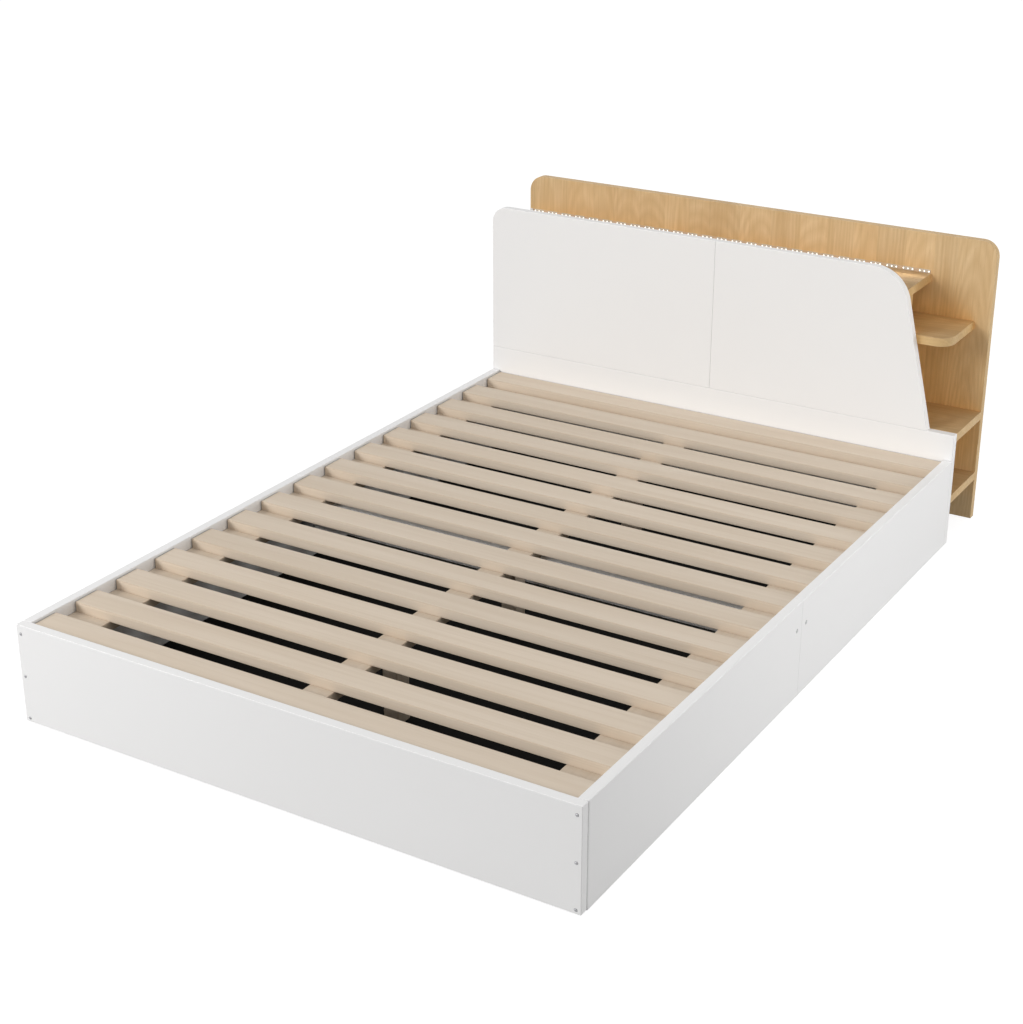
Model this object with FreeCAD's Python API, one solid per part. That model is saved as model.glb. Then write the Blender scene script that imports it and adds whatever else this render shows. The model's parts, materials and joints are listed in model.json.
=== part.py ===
import FreeCAD, Part
import math
import os

# Storage bed: a white board frame that stands on the floor, a slatted deck, and a headboard with oak shelves.
# X runs across the bed, Y from the foot to the head, Z up. The origin is on the floor under the bed's middle.
# All lengths are in millimetres.

# Frame
MATTRESS_WIDTH = 1400.0
MATTRESS_LENGTH = 2000.0
MATTRESS_SIDE_PLAY = 6.0
MATTRESS_END_PLAY = 3.0
BOARD = 24.0
BOARD_EDGE_RADIUS = 1.5
RAIL_HEIGHT = 250.0
RAIL_FRONT_LENGTH = 1008.0
FOOTBOARD_LIFT = 3.0
FOOT_SEAM_RADIUS = 4.5

# Headboard
OAK = 24.0
OAK_EDGE_RADIUS = 1.0
SHELF_DEPTH = 195.0
LOW_PANEL_HEIGHT = 323.0
HIGH_PANEL_HEIGHT = 433.5
BACK_PANEL_RISE = 48.5
PANEL_CORNER_RADIUS = 45.0
SLANT_FOOT_INSET = 77.0
SLANT_HEAD_INSET = 182.0
SLANT_CORNER_RADIUS = 108.0
BOTTOM_SHELF_TOP = 142.0
MIDDLE_SHELF_DROP = 114.0
MIDDLE_SHELF_INSET = 45.0
MIDDLE_SHELF_CORNER_RADIUS = 45.0
TOP_SHELF_DROP = 63.5
TOP_SHELF_INSET = 178.0
UPRIGHT_DEPTH = 61.0

# Deck
SLAT_COUNT = 15
SLAT_WIDTH = 75.0
SLAT_THICK = 25.0
SLAT_DROP = 6.0
SLAT_END_PLAY = 3.0
SLAT_ROW_PLAY = 1.0
SLAT_EDGE_RADIUS = 3.5
LEDGER_WIDTH = 105.0
LEDGER_THICK = 24.0
LEDGER_JOINT_GAP = 1.0
TIMBER_EDGE_RADIUS = 2.0
BEAM_WIDTH = 66.0
CLEAT_WIDTH = 30.0
CLEAT_HEIGHT = 30.0
CROSS_RAIL_HEIGHT = 77.0
LEG_WIDTH = 40.0
LEG_DEPTH = 48.0
BOTTOM_BOARD_THICK = 8.0
BOTTOM_BOARD_PLAY = 2.0

# Bracket inside each rail joint
BRACKET_SHEET = 3.0
BRACKET_LENGTH = 84.0
BRACKET_REACH = 40.0
BRACKET_NUT_RADIUS = 6.0
BRACKET_NUT_HEIGHT = 6.0

# Fasteners
SCREW_HEAD_RADIUS = 4.0
SCREW_HEAD_HEIGHT = 2.5
SCREW_SHANK_RADIUS = 2.2
END_SCREW_LENGTH = 70.0
END_SCREW_LOWEST = 12.5
END_SCREW_SPACING = 107.5
END_SCREWS_PER_RAIL = 3
CLEAT_SCREW_LENGTH = 44.0
LEDGER_SCREW_LENGTH = 40.0
SHELF_SCREW_LENGTH = 60.0
BOLT_HEAD_RADIUS = 5.0
BOLT_SHANK_RADIUS = 3.0
BOLT_OFFSET = 26.0
BOLT_HEIGHT = 182.0
DOWEL_RADIUS = 4.0
DOWEL_LENGTH = 40.0
DOWEL_PANEL_DEPTH = 12.0
FASTENER_PLAY = 0.1

# Light strip
STRIP_HEIGHT = 10.0
STRIP_THICK = 1.2
STRIP_END_MARGIN = 2.0
LAMP_SIDE = 5.0
LAMP_HEIGHT = 1.6
LAMP_PITCH = 13.2
LAMPS_PER_GROUP = 3
LAMP_GROUP_PITCH = 47.3
LAMP_END_MARGIN = 4.5
FEED_LENGTH = 10.0
FEED_DEPTH = 6.0

# Places along a piece, as shares of its length
LEG_PLACE_SHARES = {"front": (0.409, 0.916), "rear": (0.541,)}
SHELF_FIXING_SHARES = (0.1, 0.37, 0.63, 0.9)
SEAM_DOWEL_SHARES = (0.15, 0.5, 0.85)
PANEL_JOINT_SHARES = (0.3, 0.7)
CLEAT_SCREW_SHARES = (0.08, 0.36, 0.64, 0.92)
END_PANEL_SCREW_SHARES = (0.12, 0.65, 0.9)
LEDGER_SCREW_SHARES = (0.07, 0.21, 0.36, 0.64, 0.79, 0.93)
HEAD_LEDGER_SCREW_SHARES = (0.25, 0.5, 0.75)
BEAM_DOWEL_SHARES = (0.25, 0.75)

# Places worked out from the sizes above
BAY_WIDTH = MATTRESS_WIDTH + 2 * MATTRESS_SIDE_PLAY
BAY_LENGTH = MATTRESS_LENGTH + MATTRESS_END_PLAY
SIDE = BAY_WIDTH / 2 + BOARD
INNER = BAY_WIDTH / 2
TOTAL_LENGTH = 2 * BOARD + BAY_LENGTH + SHELF_DEPTH + OAK
FOOT = -TOTAL_LENGTH / 2
BAY_FOOT = FOOT + BOARD
BAY_HEAD = BAY_FOOT + BAY_LENGTH
SEAM = BAY_FOOT + RAIL_FRONT_LENGTH
SHELF_FRONT = BAY_HEAD + BOARD
SHELF_BACK = SHELF_FRONT + SHELF_DEPTH
REAR = SHELF_BACK + OAK
SLAT_BOTTOM = RAIL_HEIGHT - SLAT_DROP - SLAT_THICK
LEDGER_BOTTOM = SLAT_BOTTOM - LEDGER_THICK
CLEAT_BOTTOM = LEDGER_BOTTOM - CLEAT_HEIGHT
CROSS_RAIL_BOTTOM = LEDGER_BOTTOM - CROSS_RAIL_HEIGHT
HIGH_PANEL_TOP = LOW_PANEL_HEIGHT + HIGH_PANEL_HEIGHT
BACK_PANEL_TOP = HIGH_PANEL_TOP + BACK_PANEL_RISE
TOP_SHELF_TOP = HIGH_PANEL_TOP - TOP_SHELF_DROP
MIDDLE_SHELF_TOP = TOP_SHELF_TOP - MIDDLE_SHELF_DROP
SHELF_LEFT = OAK - SIDE
TOP_SHELF_RIGHT = SIDE - TOP_SHELF_INSET
HEAD_LEDGER_FRONT = BAY_HEAD - LEDGER_WIDTH
HEAD_LEDGER_REACH = INNER - LEDGER_WIDTH
LEDGER_MIDDLE = SLAT_BOTTOM - LEDGER_THICK / 2
SLAT_PITCH = (BAY_LENGTH - 2 * SLAT_ROW_PLAY - SLAT_WIDTH) / (SLAT_COUNT - 1)
SHELF_TOPS = {
    "shelf_bottom": BOTTOM_SHELF_TOP,
    "shelf_lower": LOW_PANEL_HEIGHT,
    "shelf_middle": MIDDLE_SHELF_TOP,
    "shelf_top": TOP_SHELF_TOP,
}
SIDES = {"left": -1, "right": 1}
HALVES = {"front": (BAY_FOOT, SEAM), "rear": (SEAM, BAY_HEAD)}
LEFTWARD = FreeCAD.Vector(-1, 0, 0)
TO_FOOT = FreeCAD.Vector(0, -1, 0)
TO_HEAD = FreeCAD.Vector(0, 1, 0)
UPWARD = FreeCAD.Vector(0, 0, 1)
DOWNWARD = FreeCAD.Vector(0, 0, -1)

parts = {}


def point(x, y, z):
    return FreeCAD.Vector(x, y, z)


def block(x_range, y_range, z_range):
    """A plain box between two limits on each axis, given in either order."""
    low = [min(limits) for limits in (x_range, y_range, z_range)]
    high = [max(limits) for limits in (x_range, y_range, z_range)]
    return Part.makeBox(high[0] - low[0], high[1] - low[1], high[2] - low[2], point(*low))


def board(x_range, y_range, z_range, radius):
    """A box with all its edges rounded."""
    solid = block(x_range, y_range, z_range)
    return solid.makeFillet(radius, solid.Edges)


def cylinder(start, along, radius, length):
    return Part.makeCylinder(radius, length, start, along)


def spread(low, high, shares):
    """Places between two limits, one for each share of the way."""
    return [low + (high - low) * share for share in shares]


def screw(seat, inward, length, head_radius, shank_radius, play):
    """A flush flat-headed fastener, or with play the hole that takes it."""
    head = cylinder(seat, inward, head_radius + play, SCREW_HEAD_HEIGHT)
    shank = cylinder(seat, inward, shank_radius + play, length + play)
    return head.fuse(shank).removeSplitter()


def drill(nodes, holes):
    """Cut the holes out of every named piece."""
    for node in nodes:
        parts[node] = parts[node].cut(Part.makeCompound(holes))


def add_to_group(group, solids):
    """Gather identical fasteners as separate solids of one piece list."""
    kept = parts[group].Solids if group in parts else []
    parts[group] = Part.makeCompound(kept + solids)


def fasten(group, nodes, seats, inward, length, radii=(SCREW_HEAD_RADIUS, SCREW_SHANK_RADIUS)):
    """Drill the named pieces and put a flush fastener in each seat."""
    drill(nodes, [screw(seat, inward, length, *radii, FASTENER_PLAY) for seat in seats])
    add_to_group(group, [screw(seat, inward, length, *radii, 0) for seat in seats])


def dowel(nodes, centres, along, depth_before):
    """Drill the named pieces and put a wooden dowel across each joint."""
    starts = [centre - along * depth_before for centre in centres]
    wide = DOWEL_RADIUS + FASTENER_PLAY
    hole_starts = [start - along * FASTENER_PLAY for start in starts]
    drill(nodes, [cylinder(start, along, wide, DOWEL_LENGTH + 2 * FASTENER_PLAY) for start in hole_starts])
    add_to_group("wood_dowels", [cylinder(start, along, DOWEL_RADIUS, DOWEL_LENGTH) for start in starts])


def rounded_corner(before, corner, after, radius):
    """The two tangent points and the middle point of an arc that rounds a corner."""
    to_before = (before - corner).normalize()
    to_after = (after - corner).normalize()
    half_angle = to_before.getAngle(to_after) / 2
    reach = radius / math.tan(half_angle)
    inward = (to_before + to_after).normalize()
    middle = corner + inward * (radius / math.sin(half_angle) - radius)
    return corner + to_before * reach, middle, corner + to_after * reach


def outline_face(corners):
    """A flat face from corners, each a point with the radius that rounds it, or zero."""
    count = len(corners)
    stops = []
    for index, (corner, radius) in enumerate(corners):
        before = corners[index - 1][0]
        after = corners[(index + 1) % count][0]
        if radius > 0:
            stops.append(rounded_corner(before, corner, after, radius))
        else:
            stops.append((corner, None, corner))
    edges = []
    for index, (start, middle, end) in enumerate(stops):
        if middle is not None:
            edges.append(Part.Arc(start, middle, end).toShape())
        edges.append(Part.LineSegment(end, stops[(index + 1) % count][0]).toShape())
    return Part.Face(Part.Wire(edges))


def cut_board(corners, thickness_vector, radius):
    """A board sawn to an outline, with its two rims rounded."""
    solid = outline_face(corners).extrude(thickness_vector)
    rims = [edge for edge in solid.Edges if is_rim(edge, thickness_vector)]
    return solid.makeFillet(radius, rims)


def is_rim(edge, thickness_vector):
    """True for an edge that lies in one of the board's two faces."""
    first, last = edge.Vertexes[0].Point, edge.Vertexes[-1].Point
    across = (last - first).dot(thickness_vector) / thickness_vector.Length
    return abs(across) < thickness_vector.Length / 2


def make_footboard():
    """The board across the foot, a little clear of the floor, with softer edges where the rails meet it."""
    solid = block((-SIDE, SIDE), (FOOT, BAY_FOOT), (FOOTBOARD_LIFT, RAIL_HEIGHT))
    parts["footboard"] = with_soft_seam(solid, BAY_FOOT)


def with_soft_seam(solid, seam_place):
    """Round every edge of a frame board, and the outer upright edges at the foot joint more than the rest."""
    def at_seam(edge):
        middle = edge.BoundBox.Center
        upright = edge.BoundBox.ZLength > edge.BoundBox.XLength + edge.BoundBox.YLength
        outer = abs(abs(middle.x) - SIDE) < BOARD / 2
        return upright and outer and abs(middle.y - seam_place) < BOARD / 2
    soft = [edge for edge in solid.Edges if at_seam(edge)]
    softened = solid.makeFillet(FOOT_SEAM_RADIUS, soft)
    plain = [edge for edge in softened.Edges if is_plain_edge(edge, solid)]
    return softened.makeFillet(BOARD_EDGE_RADIUS, plain) if plain else softened


def is_plain_edge(edge, solid):
    """True for a straight edge that lies along one of the original board's own edges."""
    middle = edge.valueAt((edge.FirstParameter + edge.LastParameter) / 2)
    spot = Part.Vertex(middle)
    return any(own.distToShape(spot)[0] < FASTENER_PLAY for own in solid.Edges)


def make_rails():
    """Each side rail is two boards that butt at the middle of the bed."""
    for side, sign in SIDES.items():
        for half, (near, far) in HALVES.items():
            solid = block((sign * INNER, sign * SIDE), (near, far), (0, RAIL_HEIGHT))
            if half == "front":
                shape = with_soft_seam(solid, BAY_FOOT)
            else:
                shape = solid.makeFillet(BOARD_EDGE_RADIUS, solid.Edges)
            parts[f"rail_{side}_{half}"] = shape


def make_head_panels():
    """The low panel across the head, and two high panels that stand on it and butt at the middle."""
    span = (BAY_HEAD, SHELF_FRONT)
    parts["head_panel_low"] = board((-SIDE, SIDE), span, (0, LOW_PANEL_HEIGHT), BOARD_EDGE_RADIUS)
    thickness = TO_HEAD * BOARD

    def at(x, z):
        return point(x, BAY_HEAD, z)
    left = [
        (at(-SIDE, LOW_PANEL_HEIGHT), 0),
        (at(0, LOW_PANEL_HEIGHT), 0),
        (at(0, HIGH_PANEL_TOP), 0),
        (at(-SIDE, HIGH_PANEL_TOP), PANEL_CORNER_RADIUS),
    ]
    right = [
        (at(0, LOW_PANEL_HEIGHT), 0),
        (at(SIDE - SLANT_FOOT_INSET, LOW_PANEL_HEIGHT), 0),
        (at(SIDE - SLANT_HEAD_INSET, HIGH_PANEL_TOP), SLANT_CORNER_RADIUS),
        (at(0, HIGH_PANEL_TOP), 0),
    ]
    parts["head_panel_left"] = cut_board(left, thickness, BOARD_EDGE_RADIUS)
    parts["head_panel_right"] = cut_board(right, thickness, BOARD_EDGE_RADIUS)


def make_back_panel():
    """The tall oak board at the very back, with round top corners."""
    def at(x, z):
        return point(x, SHELF_BACK, z)
    corners = [
        (at(-SIDE, 0), 0),
        (at(SIDE, 0), 0),
        (at(SIDE, BACK_PANEL_TOP), PANEL_CORNER_RADIUS),
        (at(-SIDE, BACK_PANEL_TOP), PANEL_CORNER_RADIUS),
    ]
    parts["back_panel"] = cut_board(corners, TO_HEAD * OAK, OAK_EDGE_RADIUS)


def make_shelves():
    """Four oak shelves between white panels and back panel, and the end panel that closes the left."""
    depth = (SHELF_FRONT, SHELF_BACK)
    for name in ("shelf_bottom", "shelf_lower"):
        top = SHELF_TOPS[name]
        parts[name] = board((SHELF_LEFT, SIDE), depth, (top - OAK, top), OAK_EDGE_RADIUS)
    level = MIDDLE_SHELF_TOP - OAK
    right = SIDE - MIDDLE_SHELF_INSET
    corners = [
        (point(SHELF_LEFT, SHELF_FRONT, level), 0),
        (point(right, SHELF_FRONT, level), MIDDLE_SHELF_CORNER_RADIUS),
        (point(right, SHELF_BACK, level), 0),
        (point(SHELF_LEFT, SHELF_BACK, level), 0),
    ]
    parts["shelf_middle"] = cut_board(corners, UPWARD * OAK, OAK_EDGE_RADIUS)
    under_top = TOP_SHELF_TOP - OAK
    top_level = (under_top, TOP_SHELF_TOP)
    parts["shelf_top"] = board((-SIDE, TOP_SHELF_RIGHT), depth, top_level, OAK_EDGE_RADIUS)
    parts["end_panel_left"] = board((-SIDE, SHELF_LEFT), depth, (0, under_top), OAK_EDGE_RADIUS)
    foot_of_upright = (SHELF_FRONT, SHELF_FRONT + UPRIGHT_DEPTH)
    for name, right in (("upright_right", TOP_SHELF_RIGHT), ("upright_middle", OAK / 2)):
        span = (right - OAK, right)
        parts[name] = board(span, foot_of_upright, (MIDDLE_SHELF_TOP, under_top), OAK_EDGE_RADIUS)


def make_cleats():
    """Square strips around the inside of the frame that carry the ledgers and the beam."""
    level = (CLEAT_BOTTOM, LEDGER_BOTTOM)
    clear_of_bracket = BRACKET_LENGTH / 2
    for side, sign in SIDES.items():
        across = (sign * INNER, sign * (INNER - CLEAT_WIDTH))
        runs = {"front": (BAY_FOOT, SEAM - clear_of_bracket), "rear": (SEAM + clear_of_bracket, BAY_HEAD)}
        for half, run in runs.items():
            parts[f"cleat_{side}_{half}"] = board(across, run, level, TIMBER_EDGE_RADIUS)
    between = (CLEAT_WIDTH - INNER, INNER - CLEAT_WIDTH)
    parts["cleat_foot"] = board(between, (BAY_FOOT, BAY_FOOT + CLEAT_WIDTH), level, TIMBER_EDGE_RADIUS)
    parts["cleat_head"] = board(between, (BAY_HEAD - CLEAT_WIDTH, BAY_HEAD), level, TIMBER_EDGE_RADIUS)


def make_cross_rail():
    """The white board under the deck that ties the two rail joints together."""
    end = INNER - BRACKET_SHEET
    run = (SEAM - BOARD / 2, SEAM + BOARD / 2)
    parts["cross_rail"] = board((-end, end), run, (CROSS_RAIL_BOTTOM, LEDGER_BOTTOM), BOARD_EDGE_RADIUS)


def make_ledgers_and_beam():
    """Flat planks along both rails and the middle, in halves that meet mid-length, and one at the head."""
    level = (LEDGER_BOTTOM, SLAT_BOTTOM)
    gap = LEDGER_JOINT_GAP / 2
    runs = {"front": (BAY_FOOT, SEAM - gap), "rear": (SEAM + gap, BAY_HEAD)}
    for half, run in runs.items():
        for side, sign in SIDES.items():
            across = (sign * INNER, sign * (INNER - LEDGER_WIDTH))
            parts[f"ledger_{side}_{half}"] = board(across, run, level, TIMBER_EDGE_RADIUS)
    beam_runs = {"front": runs["front"], "rear": (SEAM + gap, HEAD_LEDGER_FRONT)}
    for half, run in beam_runs.items():
        parts[f"beam_{half}"] = board((-BEAM_WIDTH / 2, BEAM_WIDTH / 2), run, level, TIMBER_EDGE_RADIUS)
    head_run = (HEAD_LEDGER_FRONT, BAY_HEAD)
    parts["ledger_head"] = board(
        (-HEAD_LEDGER_REACH, HEAD_LEDGER_REACH), head_run, level, TIMBER_EDGE_RADIUS
    )


def leg_places():
    """How far along the bed each leg stands: two under the front beam and one under the rear beam."""
    places = [place for half, limits in HALVES.items() for place in spread(*limits, LEG_PLACE_SHARES[half])]
    return dict(zip(("leg_front", "leg_middle", "leg_rear"), places))


def make_legs():
    """Square legs from the bottom board up to the beam."""
    across = (-LEG_WIDTH / 2, LEG_WIDTH / 2)
    for name, middle in leg_places().items():
        run = (middle - LEG_DEPTH / 2, middle + LEG_DEPTH / 2)
        parts[name] = board(across, run, (BOTTOM_BOARD_THICK, LEDGER_BOTTOM), TIMBER_EDGE_RADIUS)


def make_bottom_boards():
    """Two dark boards on the floor that close the storage space below the deck."""
    reach = INNER - BOTTOM_BOARD_PLAY
    for half, (near, far) in HALVES.items():
        run = (near + BOTTOM_BOARD_PLAY, far - BOTTOM_BOARD_PLAY)
        parts[f"bottom_board_{half}"] = block((-reach, reach), run, (0, BOTTOM_BOARD_THICK))


def slat_start(index):
    return BAY_FOOT + SLAT_ROW_PLAY + index * SLAT_PITCH


def make_slats():
    """Loose slats that lie across the ledgers and the beam."""
    reach = INNER - SLAT_END_PLAY
    level = (SLAT_BOTTOM, SLAT_BOTTOM + SLAT_THICK)
    for index in range(SLAT_COUNT):
        run = (slat_start(index), slat_start(index) + SLAT_WIDTH)
        parts[f"slat_{index + 1:02d}"] = board((-reach, reach), run, level, SLAT_EDGE_RADIUS)


def make_brackets():
    """A steel hanger in each rail joint: a plate with two nuts, two cheeks and a seat for the cross rail."""
    half_board = BOARD / 2
    plate_run = (SEAM - BRACKET_LENGTH / 2, SEAM + BRACKET_LENGTH / 2)
    level = (CROSS_RAIL_BOTTOM - BRACKET_SHEET, LEDGER_BOTTOM)
    for side, sign in SIDES.items():
        plate_face = sign * (INNER - BRACKET_SHEET)
        tip = sign * (INNER - BRACKET_REACH)
        plate = block((sign * INNER, plate_face), plate_run, level)
        cheek_runs = [(SEAM + way * half_board, SEAM + way * (half_board + BRACKET_SHEET)) for way in (-1, 1)]
        cheeks = [block((plate_face, tip), run, level) for run in cheek_runs]
        seat_run = (SEAM - half_board, SEAM + half_board)
        seat = block((plate_face, tip), seat_run, (level[0], CROSS_RAIL_BOTTOM))
        nut_seats = [point(plate_face, SEAM + way * BOLT_OFFSET, BOLT_HEIGHT) for way in (-1, 1)]
        nut_size = (LEFTWARD * sign, BRACKET_NUT_RADIUS, BRACKET_NUT_HEIGHT)
        nuts = [cylinder(seat, *nut_size) for seat in nut_seats]
        parts[f"joint_bracket_{side}"] = plate.multiFuse(cheeks + [seat] + nuts).removeSplitter()


def make_light_strip():
    """A lamp strip along the back of the top shelf, with its feed at the left end."""
    left = STRIP_END_MARGIN - SIDE
    right = TOP_SHELF_RIGHT - STRIP_END_MARGIN
    level = (TOP_SHELF_TOP, TOP_SHELF_TOP + STRIP_HEIGHT)
    face = SHELF_BACK - STRIP_THICK
    parts["light_strip"] = block((left + FEED_LENGTH, right), (face, SHELF_BACK), level)
    parts["strip_feed"] = board(
        (left, left + FEED_LENGTH), (SHELF_BACK - FEED_DEPTH, SHELF_BACK), level, STRIP_END_MARGIN / 2
    )
    last_lamp = right - LAMP_END_MARGIN
    group_span = (LAMPS_PER_GROUP - 1) * LAMP_PITCH
    room = last_lamp - group_span - LAMP_SIDE - (left + FEED_LENGTH)
    group_count = 1 + int(room // LAMP_GROUP_PITCH)
    middle = TOP_SHELF_TOP + STRIP_HEIGHT / 2
    half = LAMP_SIDE / 2
    lamps = []
    for group in range(group_count):
        for lamp in range(LAMPS_PER_GROUP):
            place = last_lamp - group * LAMP_GROUP_PITCH - lamp * LAMP_PITCH
            depth = (face - LAMP_HEIGHT, face)
            lamps.append(block((place - half, place + half), depth, (middle - half, middle + half)))
    parts["strip_lamps"] = Part.makeCompound(lamps)


def fix_rail_ends():
    """Three screws from the footboard, and three from the low head panel, into the end of each rail."""
    heights = [END_SCREW_LOWEST + index * END_SCREW_SPACING for index in range(END_SCREWS_PER_RAIL)]
    middle = SIDE - BOARD / 2
    for side, sign in SIDES.items():
        at_foot = [point(sign * middle, FOOT, height) for height in heights]
        at_head = [point(sign * middle, SHELF_FRONT, height) for height in heights]
        fasten("rail_end_screws", ["footboard", f"rail_{side}_front"], at_foot, TO_HEAD, END_SCREW_LENGTH)
        fasten("rail_end_screws", ["head_panel_low", f"rail_{side}_rear"], at_head, TO_FOOT, END_SCREW_LENGTH)


def fix_rail_joints():
    """One bolt through each rail half into the bracket's nut."""
    length = BOARD + BRACKET_SHEET + BRACKET_NUT_HEIGHT
    for side, sign in SIDES.items():
        seats = [point(sign * SIDE, SEAM + way * BOLT_OFFSET, BOLT_HEIGHT) for way in (-1, 1)]
        nodes = [f"rail_{side}_front", f"rail_{side}_rear", f"joint_bracket_{side}"]
        radii = (BOLT_HEAD_RADIUS, BOLT_SHANK_RADIUS)
        fasten("rail_joint_bolts", nodes, seats, LEFTWARD * sign, length, radii)


def fix_cleats():
    """Screws that hold every cleat to its board."""
    height = (CLEAT_BOTTOM + LEDGER_BOTTOM) / 2
    for side, sign in SIDES.items():
        face = sign * (INNER - CLEAT_WIDTH)
        for half in HALVES:
            box = parts[f"cleat_{side}_{half}"].BoundBox
            seats = [point(face, y, height) for y in spread(box.YMin, box.YMax, CLEAT_SCREW_SHARES)]
            nodes = [f"cleat_{side}_{half}", f"rail_{side}_{half}"]
            fasten("support_screws", nodes, seats, LEFTWARD * -sign, CLEAT_SCREW_LENGTH)
    places = spread(CLEAT_WIDTH - INNER, INNER - CLEAT_WIDTH, CLEAT_SCREW_SHARES)
    at_foot = [point(x, BAY_FOOT + CLEAT_WIDTH, height) for x in places]
    at_head = [point(x, BAY_HEAD - CLEAT_WIDTH, height) for x in places]
    fasten("support_screws", ["cleat_foot", "footboard"], at_foot, TO_FOOT, CLEAT_SCREW_LENGTH)
    fasten("support_screws", ["cleat_head", "head_panel_low"], at_head, TO_HEAD, CLEAT_SCREW_LENGTH)


def fix_ledgers_and_beam():
    """Screws down through the ledgers and the beam ends, each under a slat."""
    for side, sign in SIDES.items():
        x = sign * (INNER - CLEAT_WIDTH / 2)
        for share in LEDGER_SCREW_SHARES:
            y = slat_start(round(share * (SLAT_COUNT - 1))) + SLAT_WIDTH / 2
            half = "front" if y < SEAM else "rear"
            nodes = [f"ledger_{side}_{half}", f"cleat_{side}_{half}"]
            fasten("support_screws", nodes, [point(x, y, SLAT_BOTTOM)], DOWNWARD, LEDGER_SCREW_LENGTH)
    foot_seat = point(0, BAY_FOOT + CLEAT_WIDTH / 2, SLAT_BOTTOM)
    fasten("support_screws", ["beam_front", "cleat_foot"], [foot_seat], DOWNWARD, LEDGER_SCREW_LENGTH)
    places = spread(-HEAD_LEDGER_REACH, HEAD_LEDGER_REACH, HEAD_LEDGER_SCREW_SHARES)
    head_seats = [point(x, BAY_HEAD - CLEAT_WIDTH / 2, SLAT_BOTTOM) for x in places]
    fasten("support_screws", ["ledger_head", "cleat_head"], head_seats, DOWNWARD, LEDGER_SCREW_LENGTH)


def fix_shelves():
    """Screws through the back panel into the shelves, and dowels from the shelves into the white panels."""
    for name, top in SHELF_TOPS.items():
        middle = top - OAK / 2
        box = parts[name].BoundBox
        right = min(box.XMax, TOP_SHELF_RIGHT)
        places = spread(box.XMin, right, SHELF_FIXING_SHARES)
        seats = [point(x, REAR, middle) for x in places]
        fasten("shelf_screws", ["back_panel", name], seats, TO_FOOT, SHELF_SCREW_LENGTH)
        front = ["head_panel_low"] if middle < LOW_PANEL_HEIGHT else ["head_panel_left", "head_panel_right"]
        centres = [point(x, SHELF_FRONT, middle) for x in places]
        dowel(front + [name], centres, TO_HEAD, DOWEL_PANEL_DEPTH)
    end_heights = spread(0, TOP_SHELF_TOP, END_PANEL_SCREW_SHARES)
    seats = [point(OAK / 2 - SIDE, REAR, height) for height in end_heights]
    fasten("shelf_screws", ["back_panel", "end_panel_left"], seats, TO_FOOT, SHELF_SCREW_LENGTH)


def fix_head_ledger():
    """Dowels from the plank at the head into the beam and into both side ledgers."""
    places = spread(-BEAM_WIDTH / 2, BEAM_WIDTH / 2, BEAM_DOWEL_SHARES)
    centres = [point(x, HEAD_LEDGER_FRONT, LEDGER_MIDDLE) for x in places]
    dowel(["beam_rear", "ledger_head"], centres, TO_HEAD, DOWEL_LENGTH / 2)
    middle = (HEAD_LEDGER_FRONT + BAY_HEAD) / 2
    for side, sign in SIDES.items():
        end = point(sign * HEAD_LEDGER_REACH, middle, LEDGER_MIDDLE)
        dowel([f"ledger_{side}_rear", "ledger_head"], [end], LEFTWARD, DOWEL_LENGTH / 2)


def fix_panels_and_legs():
    """Dowels between the white head panels and on top of the legs."""
    middle = BAY_HEAD + BOARD / 2
    spans = {"head_panel_left": (-SIDE, 0), "head_panel_right": (0, SIDE - SLANT_FOOT_INSET)}
    for name, (low, high) in spans.items():
        centres = [point(x, middle, LOW_PANEL_HEIGHT) for x in spread(low, high, SEAM_DOWEL_SHARES)]
        dowel(["head_panel_low", name], centres, UPWARD, DOWEL_LENGTH / 2)
    heights = spread(LOW_PANEL_HEIGHT, HIGH_PANEL_TOP, PANEL_JOINT_SHARES)
    centres = [point(0, middle, height) for height in heights]
    dowel(["head_panel_left", "head_panel_right"], centres, LEFTWARD, DOWEL_LENGTH / 2)
    in_leg = DOWEL_LENGTH - LEDGER_THICK / 2
    for name, place in leg_places().items():
        half = "front" if place < SEAM else "rear"
        dowel([name, f"beam_{half}"], [point(0, place, LEDGER_BOTTOM)], UPWARD, in_leg)


make_footboard()
make_rails()
make_head_panels()
make_back_panel()
make_shelves()
make_cleats()
make_cross_rail()
make_ledgers_and_beam()
make_legs()
make_bottom_boards()
make_slats()
make_brackets()
make_light_strip()
fix_rail_ends()
fix_rail_joints()
fix_cleats()
fix_ledgers_and_beam()
fix_shelves()
fix_head_ledger()
fix_panels_and_legs()

os.makedirs("parts", exist_ok=True)
for node, shape in parts.items():
    shape.exportStep(f"parts/{node}.step")
    print(node, len(shape.Solids), "solids, valid", shape.isValid())
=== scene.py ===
import json
import math

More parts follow.
